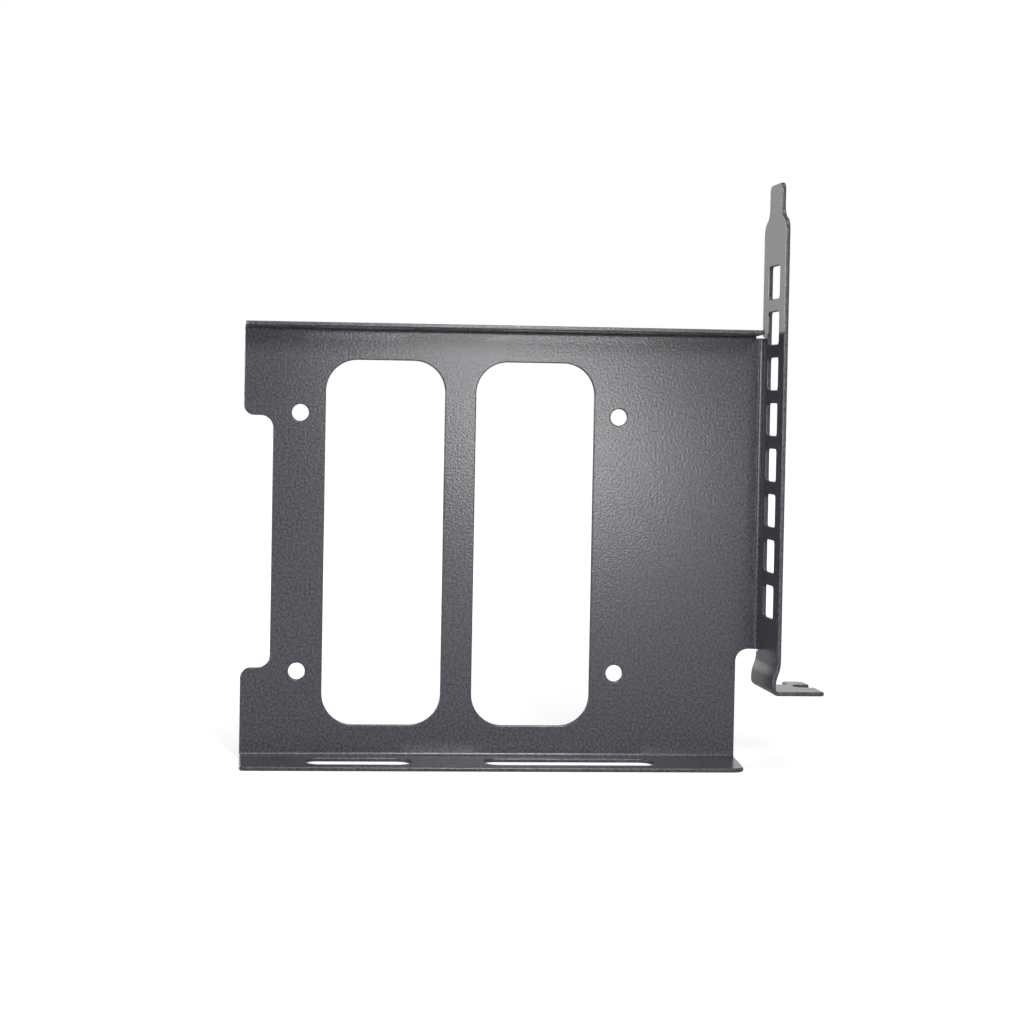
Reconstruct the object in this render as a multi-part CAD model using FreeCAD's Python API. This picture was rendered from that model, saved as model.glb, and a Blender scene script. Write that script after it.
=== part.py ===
"""Bracket that holds a 2.5-inch drive in an expansion slot, folded from one steel sheet.

Millimetres. X runs along the drive, Z is up, and the drive sits on the -Y side of the plate.
The origin is the centre of the drive's hole pattern, on the plate's front face.
"""

import FreeCAD, Part
import math
import os

from FreeCAD import Vector

# Sheet
SHEET = 1.0
BEND_RADIUS = 0.6  # inside of the flanges' and the tab's folds
BLADE_BEND_RADIUS = 1.0  # inside of the slot blade's fold

# Plate under the drive
HOLE_SPACING_X = 76.6  # bottom holes of a 2.5-inch drive
HOLE_SPACING_Z = 61.72
HOLE_RADIUS = 2.0
PLATE_LEFT = -51.7
PLATE_RIGHT = 68.0  # below the slot blade
BAY_HEIGHT = 101.6  # between the two flanges
WINDOW_WIDTH = 28.5
WINDOW_HEIGHT = 87.2
WINDOW_RIB = 7.5  # left standing between the two windows
WINDOW_CORNER = 7.5
CONNECTOR_NOTCH_DEPTH = 7.0
CONNECTOR_NOTCH_HEIGHT = 60.2
CONNECTOR_NOTCH_LIP = 2.5  # radius at the mouth
CONNECTOR_NOTCH_ROOT = 3.0
RELIEF_CORNER = 3.0  # where the plate's lower right edge meets the web to the blade

# Flanges above and below the drive
FLANGE_DEPTH = 15.7  # free edge in front of the plate's front face
FLANGE_CORNER = 1.0
TOP_FLANGE_END = (71.4, 69.2)  # X of the right end at the fold and at the free edge
TOP_FLANGE_END_CORNER = 0.8
TOP_FLANGE_SLIT_WIDTH = 0.15  # parts the top flange's end from the web to the blade
TOP_FLANGE_SLIT_DEPTH = 0.5  # past the fold line
BOTTOM_FLANGE_END = (PLATE_RIGHT, 66.6)
BOTTOM_FLANGE_END_CORNER = 3.0
FLANGE_WINDOWS = ((-36.0, -11.5), (6.3, 46.5))  # X from and to
FLANGE_WINDOW_DEPTHS = (3.8, 12.0)  # in front of the plate's front face
FLANGE_WINDOW_CORNER = 3.0

# Slot blade on the plate's right edge
BLADE_X = 73.0  # inner face
BLADE_WIDTH = 18.42  # as slot covers are
BLADE_REAR = 0.4  # free rear edge above and below the web
BLADE_HEIGHT = 120.02  # tongue tip to the outside of the tab
BLADE_TOP = 86.6
WEB_TOP = 50.5  # the plate joins the blade between these heights
WEB_BOTTOM = -24.7
WEB_SLIT = 0.5  # frees the blade beside each end of its fold
TONGUE_WIDTH = 10.19
TONGUE_CORNER = 1.6
SHOULDER_BOTTOM = 75.2
SHOULDER_HEIGHT = 6.0
VENT_COUNT = 8
VENT_PITCH = 10.8
VENT_WIDTH = 8.7
VENT_HEIGHT = 7.7
VENT_CORNER = 0.9
VENT_MIDDLE = 25.6  # height of the row's middle
JOGGLE_TOP = -25.4
JOGGLE_DROP = 5.8
JOGGLE_SHIFT = 1.1  # towards the drive

# Tab at the blade's foot
TAB_REACH = 11.43  # from the blade's inner face to its tip
TAB_REAR = -0.4
TAB_FRONT_CORNER = 0.8
TAB_REAR_CORNER = 1.6
SCREW_NOTCH_Y = -8.0
SCREW_NOTCH_WIDTH = 4.4
SCREW_NOTCH_DEPTH = 4.6
SCREW_NOTCH_LIP = 0.4
TAB_RELIEF_X = (74.3, 79.3)  # side notch behind the screw notch, from and to
TAB_RELIEF_FLOOR = -5.5
TAB_RELIEF_CORNER = 0.8

# Derived places
FLAT_HALF = BAY_HEIGHT / 2 - BEND_RADIUS  # where the plate's flat ends, up and down
BLADE_FOLD_X = BLADE_X - BLADE_BEND_RADIUS
BLADE_FRONT = BLADE_REAR - BLADE_WIDTH
BLADE_FOLD_Y = -BLADE_BEND_RADIUS
BLADE_MIDDLE = (BLADE_FRONT + BLADE_REAR) / 2
TAB_BOTTOM = BLADE_TOP - BLADE_HEIGHT
TAB_FOLD_X = BLADE_X - JOGGLE_SHIFT + SHEET + BEND_RADIUS
TAB_FOLD_Z = TAB_BOTTOM + SHEET + BEND_RADIUS
TAB_TIP = BLADE_X + TAB_REACH

LINE_MIN = 1e-6  # a shorter straight stretch between two arcs is left out


def on_plate(x, z):
    """Point of the plate's front face."""
    return Vector(x, 0, z)


def on_blade(y, z):
    """Point of the blade's inner face."""
    return Vector(BLADE_X, y, z)


def on_level(z):
    """Places (x, y) on the level face at height z."""
    return lambda x, y: Vector(x, y, z)


def outline(corners, place):
    """Closed wire through (u, v, radius) corners, each rounded by its radius."""
    stretches = []
    for i, (u, v, radius) in enumerate(corners):
        here = Vector(u, v, 0)
        before = Vector(*corners[i - 1][:2], 0) - here
        after = Vector(*corners[(i + 1) % len(corners)][:2], 0) - here
        before.normalize()
        after.normalize()
        half_angle = before.getAngle(after) / 2
        setback = radius / math.tan(half_angle)
        inward = (before + after).normalize()
        middle = here + inward * (radius / math.sin(half_angle) - radius)
        points = (here + before * setback, middle, here + after * setback)
        stretches.append([place(p.x, p.y) for p in points])
    edges = []
    for i, (start, middle, end) in enumerate(stretches):
        if start.distanceToPoint(end) > LINE_MIN:
            edges.append(Part.Arc(start, middle, end).toShape())
        following = stretches[(i + 1) % len(stretches)][0]
        if end.distanceToPoint(following) > LINE_MIN:
            edges.append(Part.LineSegment(end, following).toShape())
    return Part.Wire(edges)


def rounded_box(low, high, radius, place):
    """Closed wire of a rectangle with round corners."""
    corners = [(low[0], low[1]), (high[0], low[1]), (high[0], high[1]), (low[0], high[1])]
    return outline([(u, v, radius) for u, v in corners], place)


def panel(edge, openings, thickness):
    """Flat stretch of sheet inside an edge wire, with openings punched through it."""
    face = Part.makeFace([edge, *openings], "Part::FaceMakerBullseye")
    return face.extrude(thickness)


def section(a, b, c, d):
    """Cut face of the sheet through four corners."""
    return Part.Face(Part.makePolygon([a, b, c, d, a]))


def fold(cut, pivot, axis, degrees):
    """Bend that swings a cut face about a fold line, and the cut face at its far end."""
    return cut.revolve(pivot, axis, degrees), cut.rotated(pivot, axis, degrees)


def plate():
    """Flat plate with its two windows, four drive holes, connector notch and relief."""
    notch_x = PLATE_LEFT + CONNECTOR_NOTCH_DEPTH
    notch_z = CONNECTOR_NOTCH_HEIGHT / 2
    slit_left = TOP_FLANGE_END[0]
    slit_right = slit_left + TOP_FLANGE_SLIT_WIDTH
    slit_floor = FLAT_HALF - TOP_FLANGE_SLIT_DEPTH
    edge = outline(
        [
            (PLATE_LEFT, -FLAT_HALF, 0),
            (PLATE_RIGHT, -FLAT_HALF, 0),
            (PLATE_RIGHT, WEB_BOTTOM, RELIEF_CORNER),
            (BLADE_FOLD_X, WEB_BOTTOM, 0),
            (BLADE_FOLD_X, WEB_TOP, 0),
            (slit_right, WEB_TOP, 0),
            (slit_right, slit_floor, 0),
            (slit_left, slit_floor, 0),
            (slit_left, FLAT_HALF, 0),
            (PLATE_LEFT, FLAT_HALF, 0),
            (PLATE_LEFT, notch_z, CONNECTOR_NOTCH_LIP),
            (notch_x, notch_z, CONNECTOR_NOTCH_ROOT),
            (notch_x, -notch_z, CONNECTOR_NOTCH_ROOT),
            (PLATE_LEFT, -notch_z, CONNECTOR_NOTCH_LIP),
        ],
        on_plate,
    )
    openings = []
    for left in (-WINDOW_RIB / 2 - WINDOW_WIDTH, WINDOW_RIB / 2):
        low = (left, -WINDOW_HEIGHT / 2)
        high = (left + WINDOW_WIDTH, WINDOW_HEIGHT / 2)
        openings.append(rounded_box(low, high, WINDOW_CORNER, on_plate))
    for x in (-HOLE_SPACING_X / 2, HOLE_SPACING_X / 2):
        for z in (-HOLE_SPACING_Z / 2, HOLE_SPACING_Z / 2):
            rim = Part.Circle(on_plate(x, z), Vector(0, 1, 0), HOLE_RADIUS)
            openings.append(Part.Wire(rim.toShape()))
    return panel(edge, openings, Vector(0, SHEET, 0))


def flange(side, ends, end_corner):
    """Fold and flange along the plate's top (side 1) or bottom (side -1)."""
    fold_end, free_end = ends
    fold_z = side * FLAT_HALF
    cut = section(
        Vector(PLATE_LEFT, 0, fold_z),
        Vector(fold_end, 0, fold_z),
        Vector(fold_end, SHEET, fold_z),
        Vector(PLATE_LEFT, SHEET, fold_z),
    )
    bend, _ = fold(cut, Vector(0, -BEND_RADIUS, fold_z), Vector(1, 0, 0), side * 90)
    place = on_level(side * BAY_HEIGHT / 2)
    edge = outline(
        [
            (PLATE_LEFT, -BEND_RADIUS, 0),
            (fold_end, -BEND_RADIUS, 0),
            (free_end, -FLANGE_DEPTH, end_corner),
            (PLATE_LEFT, -FLANGE_DEPTH, FLANGE_CORNER),
        ],
        place,
    )
    near, far = FLANGE_WINDOW_DEPTHS
    windows = [
        rounded_box((start, -far), (stop, -near), FLANGE_WINDOW_CORNER, place)
        for start, stop in FLANGE_WINDOWS
    ]
    return [bend, panel(edge, windows, Vector(0, 0, side * SHEET))]


def blade():
    """Fold and vented blade up to its tongue. The shoulders are pairs of equal tangent arcs."""
    cut = section(
        Vector(BLADE_FOLD_X, 0, WEB_BOTTOM),
        Vector(BLADE_FOLD_X, SHEET, WEB_BOTTOM),
        Vector(BLADE_FOLD_X, SHEET, WEB_TOP),
        Vector(BLADE_FOLD_X, 0, WEB_TOP),
    )
    bend, _ = fold(cut, Vector(BLADE_FOLD_X, BLADE_FOLD_Y, 0), Vector(0, 0, 1), -90)
    step = (BLADE_REAR - BLADE_FRONT - TONGUE_WIDTH) / 2
    turn = 2 * math.atan2(step, SHOULDER_HEIGHT)
    radius = SHOULDER_HEIGHT / 2 / math.sin(turn)
    ease = radius * math.tan(turn / 2)
    shoulder = SHOULDER_BOTTOM + ease
    neck = SHOULDER_BOTTOM + SHOULDER_HEIGHT - ease
    tongue_front = BLADE_MIDDLE - TONGUE_WIDTH / 2
    tongue_rear = BLADE_MIDDLE + TONGUE_WIDTH / 2
    edge = outline(
        [
            (BLADE_REAR, JOGGLE_TOP, 0),
            (BLADE_FRONT, JOGGLE_TOP, 0),
            (BLADE_FRONT, shoulder, radius),
            (tongue_front, neck, radius),
            (tongue_front, BLADE_TOP, TONGUE_CORNER),
            (tongue_rear, BLADE_TOP, TONGUE_CORNER),
            (tongue_rear, neck, radius),
            (BLADE_REAR, shoulder, radius),
            (BLADE_REAR, WEB_TOP + WEB_SLIT, 0),
            (BLADE_FOLD_Y, WEB_TOP + WEB_SLIT, 0),
            (BLADE_FOLD_Y, WEB_BOTTOM - WEB_SLIT, 0),
            (BLADE_REAR, WEB_BOTTOM - WEB_SLIT, 0),
        ],
        on_blade,
    )
    vents = []
    for i in range(VENT_COUNT):
        z = VENT_MIDDLE + (i - (VENT_COUNT - 1) / 2) * VENT_PITCH
        low = (BLADE_MIDDLE - VENT_WIDTH / 2, z - VENT_HEIGHT / 2)
        high = (BLADE_MIDDLE + VENT_WIDTH / 2, z + VENT_HEIGHT / 2)
        vents.append(rounded_box(low, high, VENT_CORNER, on_blade))
    return [bend, panel(edge, vents, Vector(SHEET, 0, 0))]


def joggle():
    """Two equal opposite bends that step the blade's foot towards the drive, then the tab's fold."""
    turn = 2 * math.atan2(JOGGLE_SHIFT, JOGGLE_DROP)
    radius = JOGGLE_DROP / 2 / math.sin(turn)
    middle = BLADE_X + SHEET / 2
    axis = Vector(0, 1, 0)
    first_pivot = Vector(middle - radius, 0, JOGGLE_TOP)
    second_pivot = Vector(middle - JOGGLE_SHIFT + radius, 0, JOGGLE_TOP - JOGGLE_DROP)
    cut = section(
        Vector(BLADE_X, BLADE_REAR, JOGGLE_TOP),
        Vector(BLADE_X, BLADE_FRONT, JOGGLE_TOP),
        Vector(BLADE_X + SHEET, BLADE_FRONT, JOGGLE_TOP),
        Vector(BLADE_X + SHEET, BLADE_REAR, JOGGLE_TOP),
    )
    inward, cut = fold(cut, first_pivot, axis, math.degrees(turn))
    upright, cut = fold(cut, second_pivot, axis, -math.degrees(turn))
    drop = Vector(0, 0, TAB_FOLD_Z - (JOGGLE_TOP - JOGGLE_DROP))
    straight = cut.extrude(drop)
    tab_fold, _ = fold(cut.translated(drop), Vector(TAB_FOLD_X, 0, TAB_FOLD_Z), axis, -90)
    return [inward, upright, straight, tab_fold]


def tab():
    """Foot of the blade, turned outwards, with an open screw notch and a side relief."""
    notch_root = TAB_TIP - SCREW_NOTCH_DEPTH
    notch_radius = SCREW_NOTCH_WIDTH / 2
    notch_front = SCREW_NOTCH_Y - notch_radius
    notch_rear = SCREW_NOTCH_Y + notch_radius
    relief_start, relief_end = TAB_RELIEF_X
    edge = outline(
        [
            (TAB_FOLD_X, BLADE_FRONT, 0),
            (TAB_TIP, BLADE_FRONT, TAB_FRONT_CORNER),
            (TAB_TIP, notch_front, SCREW_NOTCH_LIP),
            (notch_root, notch_front, notch_radius),
            (notch_root, notch_rear, notch_radius),
            (TAB_TIP, notch_rear, SCREW_NOTCH_LIP),
            (TAB_TIP, TAB_REAR, TAB_REAR_CORNER),
            (relief_end, TAB_REAR, TAB_RELIEF_CORNER),
            (relief_end, TAB_RELIEF_FLOOR, TAB_RELIEF_CORNER),
            (relief_start, TAB_RELIEF_FLOOR, TAB_RELIEF_CORNER),
            (relief_start, BLADE_REAR, 0),
            (TAB_FOLD_X, BLADE_REAR, 0),
        ],
        on_level(TAB_BOTTOM),
    )
    return panel(edge, [], Vector(0, 0, SHEET))


def bracket():
    """The whole folded sheet as one solid."""
    stretches = [
        *flange(1, TOP_FLANGE_END, TOP_FLANGE_END_CORNER),
        *flange(-1, BOTTOM_FLANGE_END, BOTTOM_FLANGE_END_CORNER),
        *blade(),
        *joggle(),
        tab(),
    ]
    return plate().fuse(stretches).removeSplitter()


def main():
    os.makedirs("parts", exist_ok=True)
    shape = bracket()
    if len(shape.Solids) != 1 or not shape.isValid():
        raise ValueError("the folded sheet must be one valid solid")
    shape.Solids[0].exportStep("parts/drive_bracket.step")


main()
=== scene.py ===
"""Looks of the drive bracket: one sheet of steel, cut flat, folded and powder coated black.

Sizes are millimetres in the part's own frame and reach the meshes in metres. On the flat blank, u
is X and v is Z over the plate, and past the folds both run on along the sheet's middle.
"""

import math

import bpy
import numpy as np
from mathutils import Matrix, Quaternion, Vector
from mathutils.geometry import delaunay_2d_cdt


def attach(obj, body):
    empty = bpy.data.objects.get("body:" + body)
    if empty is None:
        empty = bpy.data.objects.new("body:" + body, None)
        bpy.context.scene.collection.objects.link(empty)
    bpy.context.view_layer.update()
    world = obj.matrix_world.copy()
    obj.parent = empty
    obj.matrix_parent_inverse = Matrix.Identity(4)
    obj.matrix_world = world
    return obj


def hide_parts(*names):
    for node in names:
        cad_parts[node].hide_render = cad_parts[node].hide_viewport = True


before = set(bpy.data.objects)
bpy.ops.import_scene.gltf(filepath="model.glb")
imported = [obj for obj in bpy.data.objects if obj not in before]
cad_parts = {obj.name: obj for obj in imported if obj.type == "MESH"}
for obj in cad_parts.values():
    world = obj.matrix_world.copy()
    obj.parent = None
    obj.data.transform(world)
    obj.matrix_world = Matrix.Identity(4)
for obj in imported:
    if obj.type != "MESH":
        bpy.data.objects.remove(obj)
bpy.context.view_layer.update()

MM = 0.001
SQUARE = math.pi / 2

# Sheet
SHEET = 1.0
BEND_RADIUS = 0.6  # inside the folds of the flanges and the tab
BLADE_BEND_RADIUS = 1.0
RIM_RADIUS = 0.3  # the coat rounds every cut edge
CUT_CORNER = 0.4  # where two cuts meet with no drawn radius
SLIT_CORNER = 0.05  # at the end of a slit
EASED_CORNER = 3.0  # where a flange's end starts to slant

# Steps of the mesh in each rounded rim, rounded corner, fold and half of the joggle
RIM_STEPS = 3
ARC_STEPS = 12
BEND_STEPS = 10
JOGGLE_STEPS = 6

# How near is near enough on the flat blank
SAME_POINT = 1e-6  # points of an outline that are nearer than this are one
ON_SIDE = 1e-4  # a bend row ends on a side that its end is this near to
SIDE_END = RIM_RADIUS / 4  # and nearer than this to the side's own end, it takes that
TRIANGLE_GRAIN = 1e-7
TRIANGLES_INSIDE = 1  # kind of result that delaunay_2d_cdt gives

# Plate under the drive
HOLE_SPACING = (76.6, 61.72)
HOLE_RADIUS = 2.0
PLATE_LEFT = -51.7
PLATE_RIGHT = 68.0  # below the blade's fold
BAY_HEIGHT = 101.6  # from flange to flange
WINDOW_WIDTH = 28.5
WINDOW_HEIGHT = 87.2
WINDOW_RIB = 7.5
WINDOW_CORNER = 7.5
CONNECTOR_NOTCH_DEPTH = 7.0
CONNECTOR_NOTCH_HEIGHT = 60.2
CONNECTOR_NOTCH_LIP = 2.5
CONNECTOR_NOTCH_ROOT = 3.0
RELIEF_CORNER = 3.0

# Flanges above and below the drive
FLANGE_DEPTH = 15.7
FLANGE_CORNER = 1.0
TOP_FLANGE_END = (71.4, 69.2)  # at the fold and at the free edge
TOP_FLANGE_END_CORNER = 0.8
BOTTOM_FLANGE_END = (PLATE_RIGHT, 66.6)
BOTTOM_FLANGE_END_CORNER = 3.0
FLANGE_WINDOWS = ((-36.0, -11.5), (6.3, 46.5))  # X of each one's ends
FLANGE_WINDOW_DEPTHS = (3.8, 12.0)  # of their sides, from the plate's front face
FLANGE_WINDOW_CORNER = 3.0

# Slot blade, and the web that joins it to the plate
BLADE_X = 73.0  # of the inner face
BLADE_WIDTH = 18.42
BLADE_REAR = 0.4  # Y of the rear edge
BLADE_HEIGHT = 120.02  # from the tab's underside to the tongue's tip
BLADE_TOP = 86.6
WEB_TOP = 50.5
WEB_BOTTOM = -24.7
WEB_SLIT = 0.3  # the cut is 0.5 wide and the coat narrows it
TONGUE_WIDTH = 10.19
TONGUE_CORNER = 1.6
SHOULDER_BOTTOM = 75.2
SHOULDER_HEIGHT = 6.0
VENT_COUNT = 8
VENT_PITCH = 10.8
VENT_SIZE = (8.7, 7.7)
VENT_CORNER = 0.9
VENT_MIDDLE = 25.6  # Z of the row's middle
JOGGLE_TOP = -25.4
JOGGLE_DROP = 5.8
JOGGLE_SHIFT = 1.1

# Tab at the blade's foot
TAB_REACH = 11.43
TAB_REAR = -0.4  # Y of the rear edge
TAB_FRONT_CORNER = 0.8
TAB_REAR_CORNER = 1.6
SCREW_NOTCH_Y = -8.0
SCREW_NOTCH_WIDTH = 4.4
SCREW_NOTCH_DEPTH = 4.6
SCREW_NOTCH_LIP = 0.4
TAB_RELIEF_X = (74.3, 79.3)  # cut into the tab's rear edge between these
TAB_RELIEF_FLOOR = -5.5  # Y of the cut's end
TAB_RELIEF_CORNER = 0.8

# Derived places, and lengths along the sheet's middle
HALF_SHEET = SHEET / 2
BEND_LENGTH = (BEND_RADIUS + HALF_SHEET) * SQUARE
BLADE_BEND_LENGTH = (BLADE_BEND_RADIUS + HALF_SHEET) * SQUARE
FLAT_HALF = BAY_HEIGHT / 2 - BEND_RADIUS
BLADE_FOLD_X = BLADE_X - BLADE_BEND_RADIUS
BLADE_FRONT = BLADE_REAR - BLADE_WIDTH
BLADE_FOLD_Y = -BLADE_BEND_RADIUS
BLADE_MIDDLE = (BLADE_FRONT + BLADE_REAR) / 2
TAB_BOTTOM = BLADE_TOP - BLADE_HEIGHT
TAB_FOLD_X = BLADE_X - JOGGLE_SHIFT + SHEET + BEND_RADIUS
TAB_FOLD_Z = TAB_BOTTOM + SHEET + BEND_RADIUS
TAB_TIP = BLADE_X + TAB_REACH
JOGGLE_TURN = 2 * math.atan2(JOGGLE_SHIFT, JOGGLE_DROP)
JOGGLE_LENGTH = JOGGLE_DROP / 2 / math.sin(JOGGLE_TURN) * JOGGLE_TURN
FOOT_STRAIGHT = JOGGLE_TOP - JOGGLE_DROP - TAB_FOLD_Z
LONG = 1000.0  # last stretch of a fold, longer than any flange

# Folds as chains of stretches: length and turn of each
FLANGE_FOLD = ((BEND_LENGTH, SQUARE), (LONG, 0.0))
WEB_FOLD = ((BLADE_BEND_LENGTH, SQUARE), (LONG, 0.0))
FOOT_FOLD = (
    (JOGGLE_LENGTH, JOGGLE_TURN),
    (JOGGLE_LENGTH, -JOGGLE_TURN),
    (FOOT_STRAIGHT, 0.0),
    (BEND_LENGTH, -SQUARE),
    (LONG, 0.0),
)


def chain(way, stretches):
    """Place and heading at a way along a chain of stretches (length, turn).

    A stretch with no turn is straight, and one with a turn is an arc of radius length / turn.
    Each starts where the one before it ends, in that one's last direction.
    """
    along, aside, heading = (np.zeros_like(way) for _ in range(3))
    start = turned = 0.0
    for length, turn in stretches:
        gone = np.clip(way - start, 0.0, length)
        bent = turn * gone / length
        ahead = length / turn * np.sin(bent) if turn else gone
        beside = length / turn * (1 - np.cos(bent)) if turn else 0 * gone
        along += ahead * math.cos(turned) - beside * math.sin(turned)
        aside += ahead * math.sin(turned) + beside * math.cos(turned)
        heading += bent
        start += length
        turned += turn
    return along, aside, heading


def fold(u, v):
    """Folds points of the flat blank: place on the sheet's middle, and its u, v and back ways.

    Past the plate's flat, |v| walks round a flange's fold. Past the blade's fold line, u walks
    round the blade's fold, and there v below the joggle's top walks along the foot. Above and below
    the web nothing bends the blade, so what lies short of the fold's end runs straight on
    backwards.
    """
    beyond_flanges = u > TOP_FLANGE_END[0] + RIM_RADIUS
    beyond_fold = u > BLADE_FOLD_X
    past_flat = np.where(beyond_flanges, 0.0, np.maximum(np.abs(v) - FLAT_HALF, 0.0))
    past_web = np.maximum(u - BLADE_FOLD_X, 0.0)
    past_joggle = np.where(beyond_fold, np.maximum(JOGGLE_TOP - v, 0.0), 0.0)
    freed = beyond_fold & ((v > WEB_TOP + WEB_SLIT / 2) | (v < WEB_BOTTOM - WEB_SLIT / 2))
    behind = np.where(freed, np.maximum(BLADE_BEND_LENGTH - past_web, 0.0), 0.0)
    side = np.sign(v)
    flange_z, flange_y, flange = chain(past_flat, FLANGE_FOLD)
    blade_x, blade_y, blade = chain(past_web + behind, WEB_FOLD)
    foot_z, foot_x, foot = chain(past_joggle, FOOT_FOLD)
    x = u - past_web + blade_x - foot_x
    y = HALF_SHEET - flange_y - blade_y + behind
    z = v - side * past_flat + side * flange_z + past_joggle - foot_z
    zero = 0 * u
    along_u = np.stack([np.cos(blade), -np.sin(blade), zero], -1)
    along_v = np.stack([np.sin(foot), -side * np.sin(flange), np.cos(flange) * np.cos(foot)], -1)
    back = np.cross(along_v, along_u)
    return np.stack([x, y, z], -1), along_u, along_v, back


def outline(corners):
    """Closed outline through (u, v, radius) corners, each an arc tangent to its two sides.

    The heading turns evenly from one side's direction to the next one's, and the point lies the
    radius aside of it. The material is on the left, so the way out of it is on the right.
    """
    corners = np.array(corners)
    at, radius = corners[:, :2], corners[:, 2:, None]
    leaving = np.roll(at, -1, axis=0) - at
    leaving /= np.linalg.norm(leaving, axis=1, keepdims=True)
    coming = np.roll(leaving, 1, axis=0)
    cross = coming[:, 0] * leaving[:, 1] - coming[:, 1] * leaving[:, 0]
    turn = np.arctan2(cross, (coming * leaving).sum(axis=1))[:, None, None]
    angle = turn * np.linspace(0, 1, ARC_STEPS + 1)[None, :, None]
    left = np.stack([-coming[:, 1], coming[:, 0]], -1)[:, None, :]
    coming = coming[:, None, :]
    left_now = left * np.cos(angle) - coming * np.sin(angle)
    start = at[:, None, :] - coming * radius * np.tan(np.abs(turn) / 2)
    points = (start + (left - left_now) * radius * np.sign(turn)).reshape(-1, 2)
    outward = -left_now.reshape(-1, 2)
    apart = np.linalg.norm(points - np.roll(points, 1, axis=0), axis=1) > SAME_POINT
    return points[apart], outward[apart]


def opening(low, high, radius):
    """Outline of a punched rectangle with round corners, run so that the sheet is on its left."""
    corners = [(low[0], low[1]), (low[0], high[1]), (high[0], high[1]), (high[0], low[1])]
    return outline([(u, v, radius) for u, v in corners])


def on_flange(y):
    """Way up the blank of a flange's line at depth y."""
    return FLAT_HALF + BEND_LENGTH - BEND_RADIUS - y


def on_blade(y):
    """Way along the blank of a blade's line at depth y."""
    return BLADE_FOLD_X + BLADE_BEND_LENGTH + BLADE_FOLD_Y - y


def on_tab(x):
    """Way down the blank of a tab's line at X."""
    return JOGGLE_TOP - 2 * JOGGLE_LENGTH - FOOT_STRAIGHT - BEND_LENGTH + TAB_FOLD_X - x


def blank_edge():
    """Outer outline of the flat blank, anticlockwise from the lower left.

    The top flange's end has no slit at its foot, because the coat closes the narrow one there. A
    shoulder of the tongue is two arcs, each half as tall and half as wide as the shoulder.
    """
    free, folded = on_flange(-FLANGE_DEPTH), on_flange(-BEND_RADIUS)
    notch_x = PLATE_LEFT + CONNECTOR_NOTCH_DEPTH
    notch_z = CONNECTOR_NOTCH_HEIGHT / 2
    rear, front, fold_end = (on_blade(y) for y in (BLADE_REAR, BLADE_FRONT, BLADE_FOLD_Y))
    web_slit_top, web_slit_bottom = WEB_TOP + WEB_SLIT, WEB_BOTTOM - WEB_SLIT
    screw_root = TAB_TIP - SCREW_NOTCH_DEPTH
    screw_radius = SCREW_NOTCH_WIDTH / 2
    screw_rear = on_blade(SCREW_NOTCH_Y + screw_radius)
    screw_front = on_blade(SCREW_NOTCH_Y - screw_radius)
    relief_start, relief_end = TAB_RELIEF_X
    step = (BLADE_REAR - BLADE_FRONT - TONGUE_WIDTH) / 2
    turn = 2 * math.atan2(step, SHOULDER_HEIGHT)
    bow = SHOULDER_HEIGHT / 2 / math.sin(turn)
    ease = bow * math.tan(turn / 2)
    shoulder, neck = SHOULDER_BOTTOM + ease, SHOULDER_BOTTOM + SHOULDER_HEIGHT - ease
    tongue_front = on_blade(BLADE_MIDDLE - TONGUE_WIDTH / 2)
    tongue_rear = on_blade(BLADE_MIDDLE + TONGUE_WIDTH / 2)
    return outline(
        [
            (PLATE_LEFT, -free, FLANGE_CORNER),
            (BOTTOM_FLANGE_END[1], -free, BOTTOM_FLANGE_END_CORNER),
            (BOTTOM_FLANGE_END[0], -folded, EASED_CORNER),
            (PLATE_RIGHT, WEB_BOTTOM, RELIEF_CORNER),
            (fold_end, WEB_BOTTOM, SLIT_CORNER),
            (fold_end, web_slit_bottom, SLIT_CORNER),
            (rear, web_slit_bottom, CUT_CORNER),
            (rear, on_tab(relief_start), CUT_CORNER),
            (on_blade(TAB_RELIEF_FLOOR), on_tab(relief_start), TAB_RELIEF_CORNER),
            (on_blade(TAB_RELIEF_FLOOR), on_tab(relief_end), TAB_RELIEF_CORNER),
            (on_blade(TAB_REAR), on_tab(relief_end), TAB_RELIEF_CORNER),
            (on_blade(TAB_REAR), on_tab(TAB_TIP), TAB_REAR_CORNER),
            (screw_rear, on_tab(TAB_TIP), SCREW_NOTCH_LIP),
            (screw_rear, on_tab(screw_root), screw_radius),
            (screw_front, on_tab(screw_root), screw_radius),
            (screw_front, on_tab(TAB_TIP), SCREW_NOTCH_LIP),
            (front, on_tab(TAB_TIP), TAB_FRONT_CORNER),
            (front, shoulder, bow),
            (tongue_front, neck, bow),
            (tongue_front, BLADE_TOP, TONGUE_CORNER),
            (tongue_rear, BLADE_TOP, TONGUE_CORNER),
            (tongue_rear, neck, bow),
            (rear, shoulder, bow),
            (rear, web_slit_top, CUT_CORNER),
            (fold_end, web_slit_top, SLIT_CORNER),
            (fold_end, WEB_TOP, SLIT_CORNER),
            (TOP_FLANGE_END[0], WEB_TOP, SLIT_CORNER),
            (TOP_FLANGE_END[0], folded, EASED_CORNER),
            (TOP_FLANGE_END[1], free, TOP_FLANGE_END_CORNER),
            (PLATE_LEFT, free, FLANGE_CORNER),
            (PLATE_LEFT, notch_z, CONNECTOR_NOTCH_LIP),
            (notch_x, notch_z, CONNECTOR_NOTCH_ROOT),
            (notch_x, -notch_z, CONNECTOR_NOTCH_ROOT),
            (PLATE_LEFT, -notch_z, CONNECTOR_NOTCH_LIP),
        ]
    )


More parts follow.
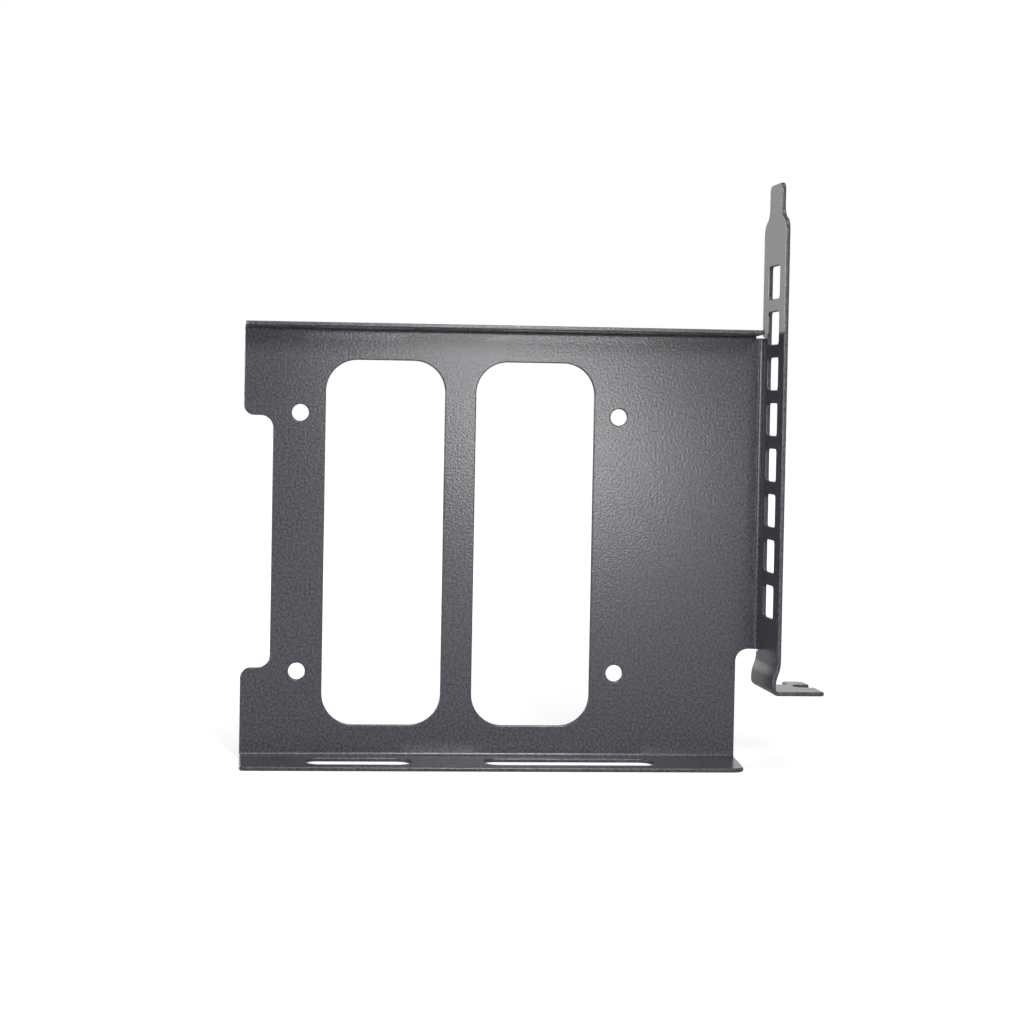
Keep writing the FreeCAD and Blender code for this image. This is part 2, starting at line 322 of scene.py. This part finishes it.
def blank_openings():
    """Outlines of the drive holes and of the windows in the plate, the flanges and the blade."""
    made = []
    for left in (-WINDOW_RIB / 2 - WINDOW_WIDTH, WINDOW_RIB / 2):
        high = (left + WINDOW_WIDTH, WINDOW_HEIGHT / 2)
        made.append(opening((left, -WINDOW_HEIGHT / 2), high, WINDOW_CORNER))
    for x in (-HOLE_SPACING[0] / 2, HOLE_SPACING[0] / 2):
        for z in (-HOLE_SPACING[1] / 2, HOLE_SPACING[1] / 2):
            low, high = (x - HOLE_RADIUS, z - HOLE_RADIUS), (x + HOLE_RADIUS, z + HOLE_RADIUS)
            made.append(opening(low, high, HOLE_RADIUS))
    near, far = (on_flange(-depth) for depth in FLANGE_WINDOW_DEPTHS)
    for start, stop in FLANGE_WINDOWS:
        made.append(opening((start, near), (stop, far), FLANGE_WINDOW_CORNER))
        made.append(opening((start, -far), (stop, -near), FLANGE_WINDOW_CORNER))
    width, height = VENT_SIZE
    sides = on_blade(BLADE_MIDDLE + width / 2), on_blade(BLADE_MIDDLE - width / 2)
    for i in range(VENT_COUNT):
        z = VENT_MIDDLE + (i - (VENT_COUNT - 1) / 2) * VENT_PITCH
        low, high = (sides[0], z - height / 2), (sides[1], z + height / 2)
        made.append(opening(low, high, VENT_CORNER))
    return made


def bend_rows():
    """Straight rows across the blank on which the folds bend: ends (u, v), (u, v) of each row."""
    bend = np.linspace(0, BEND_LENGTH, BEND_STEPS + 1)
    joggle = np.linspace(0, 2 * JOGGLE_LENGTH, 2 * JOGGLE_STEPS + 1)
    foot = JOGGLE_TOP - np.r_[joggle, joggle[-1] + FOOT_STRAIGHT + bend]
    flange = FLAT_HALF + bend
    web = BLADE_FOLD_X + np.linspace(0, BLADE_BEND_LENGTH, BEND_STEPS + 1)

    def across(v, start, stop):
        """Rows at each v, from u = start to u = stop."""
        return np.stack([np.full_like(v, start), v, np.full_like(v, stop), v], -1)

    rows = [
        across(flange, PLATE_LEFT, TOP_FLANGE_END[0]),
        across(-flange, PLATE_LEFT, BOTTOM_FLANGE_END[0]),
        across(foot, on_blade(BLADE_REAR), on_blade(BLADE_FRONT)),
        across(web, WEB_BOTTOM, WEB_TOP)[:, [1, 0, 3, 2]],  # u and v trade places
    ]
    return np.concatenate(rows).reshape(-1, 2, 2)


def with_row_ends(points, outward, rows):
    """An outline with a point added on each side that a row ends on.

    A row's end is split into its way along the side and its distance beside it.
    """
    sides = (np.roll(points, -1, axis=0) - points)[:, None]
    length = np.linalg.norm(sides, axis=-1)
    from_start = rows.reshape(1, -1, 2) - points[:, None]
    way = (from_start * sides).sum(-1) / length
    beside = from_start[..., 0] * sides[..., 1] - from_start[..., 1] * sides[..., 0]
    on_side = np.abs(beside) / length < ON_SIDE
    between_ends = (way > SIDE_END) & (way < length - SIDE_END)
    side, end = np.nonzero(on_side & between_ends)
    share = way[side, end] / length[side, 0]
    order = np.argsort(np.r_[np.arange(len(points)), side + share], kind="stable")
    added = points[side] + share[:, None] * sides[side, 0]
    return np.r_[points, added][order], np.r_[outward, outward[side]][order]


def inside(places, starts, stops):
    """Which places lie in the blank: a ray to the right crosses an odd number of its sides."""
    u, v = places[:, 0, None], places[:, 1, None]
    spans = (starts[:, 1] > v) != (stops[:, 1] > v)
    drop = np.where(stops[:, 1] == starts[:, 1], 1.0, stops[:, 1] - starts[:, 1])
    crossing = starts[:, 0] + (v - starts[:, 1]) / drop * (stops[:, 0] - starts[:, 0])
    return (spans & (u < crossing)).sum(axis=1) % 2 == 1


def blank_triangles(points, following, rows):
    """Triangles between the outlines of the flat blank, with an edge along every bend row.

    A row's edge runs between the outline points that are nearest to the row's ends.
    """
    gap = np.linalg.norm(points[None, None] - rows[:, :, None], axis=-1)
    edges = np.r_[np.stack([np.arange(len(points)), following], -1), gap.argmin(axis=-1)]
    flat = [Vector(p) for p in points.tolist()]
    found, _, faces, *_ = delaunay_2d_cdt(
        flat, edges.tolist(), [], TRIANGLES_INSIDE, TRIANGLE_GRAIN
    )
    if len(found) != len(points):
        raise ValueError("a bend row crosses an outline between two of its points")
    faces = np.array(faces)
    return faces[inside(points[faces].mean(axis=1), points, points[following])]


def sheet_mesh(name):
    """The folded sheet: two faces between the outlines, and a round rim carried along each one.

    The rim's profile is a quarter circle from the front face to the cut, the cut, and a quarter
    circle to the back face. Every point is worked out on the flat blank, as a distance in from the
    outline and a height through the sheet, and then folded.
    """
    rows = bend_rows()
    loops = [with_row_ends(*loop, rows) for loop in [blank_edge(), *blank_openings()]]
    points = np.concatenate([p for p, _ in loops])
    outward = np.concatenate([n for _, n in loops])
    sizes = [len(p) for p, _ in loops]
    firsts = np.cumsum([0, *sizes[:-1]])
    following = np.concatenate([np.roll(np.arange(n), -1) + f for n, f in zip(sizes, firsts)])

    round_off = np.linspace(0, SQUARE, RIM_STEPS + 1)
    angle = np.r_[round_off, round_off[::-1]]
    face = np.r_[-np.ones(RIM_STEPS + 1), np.ones(RIM_STEPS + 1)]
    inset = RIM_RADIUS * (1 - np.sin(angle))
    height = face * (HALF_SHEET - RIM_RADIUS * (1 - np.cos(angle)))
    flat = points[:, None] - outward[:, None] * inset[None, :, None]
    place, along_u, along_v, back = fold(flat[..., 0], flat[..., 1])
    place = place + back * height[None, :, None]
    out = along_u * outward[:, None, :1] + along_v * outward[:, None, 1:]
    normal = out * np.sin(angle)[None, :, None] + back * (face * np.cos(angle))[None, :, None]

    columns = len(angle)
    here = (np.arange(len(points)) * columns)[:, None] + np.arange(columns - 1)
    there = (following * columns)[:, None] + np.arange(columns - 1)
    rim = np.stack([here, here + 1, there + 1, there], -1).reshape(-1, 4)
    triangles = blank_triangles(flat[:, 0], following, rows) * columns
    faces = [*rim.tolist(), *triangles.tolist(), *(triangles[:, ::-1] + columns - 1).tolist()]
    mesh = bpy.data.meshes.new(name)
    mesh.from_pydata((place.reshape(-1, 3) * MM).tolist(), [], faces)
    mesh.polygons.foreach_set("use_smooth", np.ones(len(faces), bool))
    mesh.normals_split_custom_set_from_vertices(normal.reshape(-1, 3).tolist())
    mesh.update()
    return mesh


SRGB_TOE = 0.04045
SRGB_TOE_SLOPE = 12.92
SRGB_OFFSET = 0.055
SRGB_POWER = 2.4


def linear(colour):
    """Linear colour of an sRGB hex value: below the toe it is a straight line, above it a power."""
    srgb = np.array([int(colour[i : i + 2], 16) for i in (1, 3, 5)]) / 255
    power = ((srgb + SRGB_OFFSET) / (1 + SRGB_OFFSET)) ** SRGB_POWER
    light = np.where(srgb <= SRGB_TOE, srgb / SRGB_TOE_SLOPE, power)
    return (*light.tolist(), 1.0)


def add(tree, kind, inputs=None, **settings):
    """Adds a node, sets it up, and sets each input to a value or links it to a socket."""
    node = tree.nodes.new(kind)
    for name, value in settings.items():
        setattr(node, name, value)
    for name, value in (inputs or {}).items():
        if isinstance(value, bpy.types.NodeSocket):
            tree.links.new(value, node.inputs[name])
        else:
            node.inputs[name].default_value = value
    return node


def new_material(name):
    """An empty material and its node tree."""
    material = bpy.data.materials.new(name)
    material.use_nodes = True
    material.node_tree.nodes.clear()
    return material, material.node_tree


# Black powder coat on steel: baked polyester powder flows into a fine orange peel, so a lamp's
# reflection is broad and pebbled, and a shallow view mirrors the surroundings
# The coat's black, painted darker in the peel's dips as shade and lighter on the pebble tops as
# light
COAT_DIP_PAINTED_SHADE = "#343237"
COAT_TOP_PAINTED_LIGHT = "#4b4951"
COAT_ROUGHNESS = 0.215
COAT_IOR = 1.5
PEEL_MM = 0.55  # from a pebble to the next dip
PEEL_HEIGHT_MM = 0.017
PEEL_RANGE = (0.3, 0.7)  # most of the noise lies between these
MIX_FIRST, MIX_SECOND, MIX_RESULT = 6, 7, 2  # places of the Mix node's colour sockets


def powder_coat():
    """One noise is the peel: it raises the pebbles, and its colour paints shade in the dips and
    light on the pebble tops.
    """
    material, tree = new_material("black_powder_coat_on_steel")
    place = add(tree, "ShaderNodeTexCoord").outputs["Object"]
    peel = add(
        tree,
        "ShaderNodeTexNoise",
        {"Vector": place, "Scale": 1 / (PEEL_MM * MM), "Detail": 0.0},
    ).outputs["Fac"]
    bump = add(
        tree,
        "ShaderNodeBump",
        {"Height": peel, "Strength": 1.0, "Distance": PEEL_HEIGHT_MM * MM},
    )
    pebble = add(
        tree,
        "ShaderNodeMapRange",
        {"Value": peel, "From Min": PEEL_RANGE[0], "From Max": PEEL_RANGE[1]},
    )
    colour = add(
        tree,
        "ShaderNodeMix",
        {
            "Factor": pebble.outputs["Result"],
            MIX_FIRST: linear(COAT_DIP_PAINTED_SHADE),
            MIX_SECOND: linear(COAT_TOP_PAINTED_LIGHT),
        },
        data_type="RGBA",
    )
    coat = add(
        tree,
        "ShaderNodeBsdfPrincipled",
        {
            "Base Color": colour.outputs[MIX_RESULT],
            "Roughness": COAT_ROUGHNESS,
            "IOR": COAT_IOR,
            "Normal": bump.outputs["Normal"],
        },
    )
    add(tree, "ShaderNodeOutputMaterial", {"Surface": coat.outputs["BSDF"]})
    return material


# Matt white paper on a lit table: the lamps light it as pale paper and leave the bracket's shadow
# on it, and the table's glow, which only the camera sees, is weaker round the bracket for that
PAPER = "#b8b8b8"
PAPER_GLOW = (0.62, 0.9)  # round the bracket and far from it
PAPER_GLOW_REACH = (130.0, 480.0)  # distances from the origin for these two
WHITE = "#ffffff"
SURROUND_LIGHT = 0.22  # strength of the surroundings as light


def paper():
    """Diffuse paper with a glow that grows with the distance from the origin."""
    material, tree = new_material("white_paper_sweep")
    matt = add(tree, "ShaderNodeBsdfDiffuse", {"Color": linear(PAPER)})
    place = add(tree, "ShaderNodeTexCoord").outputs["Object"]
    away = add(tree, "ShaderNodeVectorMath", {0: place}, operation="LENGTH")
    table = add(
        tree,
        "ShaderNodeMapRange",
        {
            "Value": away.outputs["Value"],
            "From Min": PAPER_GLOW_REACH[0] * MM,
            "From Max": PAPER_GLOW_REACH[1] * MM,
            "To Min": PAPER_GLOW[0],
            "To Max": PAPER_GLOW[1],
        },
    )
    seen = add(tree, "ShaderNodeLightPath").outputs["Is Camera Ray"]
    glow = add(
        tree, "ShaderNodeMath", {0: seen, 1: table.outputs["Result"]}, operation="MULTIPLY"
    )
    light = add(tree, "ShaderNodeEmission", {"Strength": glow.outputs[0]})
    both = add(tree, "ShaderNodeAddShader", {0: matt.outputs[0], 1: light.outputs[0]})
    add(tree, "ShaderNodeOutputMaterial", {"Surface": both.outputs[0]})
    return material


def surround():
    """Even white surroundings: full white where the camera sees them, softer as light."""
    world = bpy.data.worlds.new("studio")
    bpy.context.scene.world = world
    world.use_nodes = True
    tree = world.node_tree
    tree.nodes.clear()
    seen = add(tree, "ShaderNodeLightPath").outputs["Is Camera Ray"]
    strength = add(
        tree,
        "ShaderNodeMapRange",
        {"Value": seen, "To Min": SURROUND_LIGHT, "To Max": 1.0},
    )
    white = add(
        tree,
        "ShaderNodeBackground",
        {"Color": linear(WHITE), "Strength": strength.outputs["Result"]},
    )
    add(tree, "ShaderNodeOutputWorld", {"Surface": white.outputs[0]})


def place_object(name, data):
    """Puts data into the scene as an object at the origin."""
    made = bpy.data.objects.new(name, data)
    bpy.context.scene.collection.objects.link(made)
    return made


def lamp(name, place, target, size, roll, watts):
    """Oval soft lamp at a place, aimed at a target and rolled about its aim by degrees."""
    data = bpy.data.lights.new(name, "AREA")
    data.shape = "ELLIPSE"
    data.size, data.size_y = (MM * length for length in size)
    data.energy = watts
    made = place_object(name, data)
    made.location = Vector(place) * MM
    aim = (Vector(target) - Vector(place)).to_track_quat("-Z", "Y")
    made.rotation_euler = (aim @ Quaternion((0, 0, 1), math.radians(roll))).to_euler()


FLOOR_Z = -BAY_HEIGHT / 2 - SHEET
FLOOR_GAP = 0.01  # keeps the floor from flickering through the flange that stands on it
FLOOR_HALF = 4000.0


def floor():
    """Square of paper under the bottom flange."""
    corners = np.array([(-1, -1), (1, -1), (1, 1), (-1, 1)]) * FLOOR_HALF
    corners = np.c_[corners, np.full(len(corners), FLOOR_Z - FLOOR_GAP)] * MM
    mesh = bpy.data.meshes.new("floor")
    mesh.from_pydata(corners.tolist(), [], [(0, 1, 2, 3)])
    mesh.materials.append(paper())
    made = place_object("floor", mesh)


# Camera, as fitted to the photograph
CAMERA_PLACE = (-54.0, -453.0, 33.0)
CAMERA_TURN = (88.61, -0.933, -3.723)  # degrees
CAMERA_LENS = 66.987
CAMERA_SHIFT = (0.15, -0.06)
CAMERA_NEAR = 10.0  # nothing nearer to the lens is drawn


def camera():
    """The photograph's view of the bracket."""
    data = bpy.data.cameras.new("camera")
    data.lens = CAMERA_LENS
    data.shift_x, data.shift_y = CAMERA_SHIFT
    data.clip_start = CAMERA_NEAR * MM
    made = place_object("camera", data)
    made.location = Vector(CAMERA_PLACE) * MM
    made.rotation_euler = [math.radians(a) for a in CAMERA_TURN]
    bpy.context.scene.camera = made


# Lamps: name, place, target, size, roll and watts. The plate mirrors the key and the fill as its
# bright patch, the rear lamp lights the plate's back, and the upper blade, the joggle and the tab
# mirror the backdrop
LAMPS = (
    ("key", (126, -750, 36), (14, 0, 33), (200, 85), -25, 0.6),
    ("fill", (165, -750, -24), (30, 0, 5), (90, 54), 0, 0.11),
    ("front", (66, -400, 165), (20, 0, 0), (90, 90), 0, 1.0),
    ("side", (-750, -420, 60), (60, 0, 0), (450, 200), 0, 2.4),
    ("rear", (-450, 550, 140), (0, 0, 10), (300, 200), 0, 2.6),
    ("overhead", (80, -400, 820), (0, 0, 0), (700, 700), 0, 4.4),
    ("backdrop", (0, 4300, 900), (0, 0, 0), (8600, 5200), 0, 77.0),
)

camera()
surround()
floor()
for settings in LAMPS:
    lamp(*settings)

sheet = place_object("bracket_sheet", sheet_mesh("bracket_sheet"))
sheet.data.materials.append(powder_coat())
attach(sheet, "root")
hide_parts("drive_bracket")

bpy.context.scene.view_settings.view_transform = "Standard"
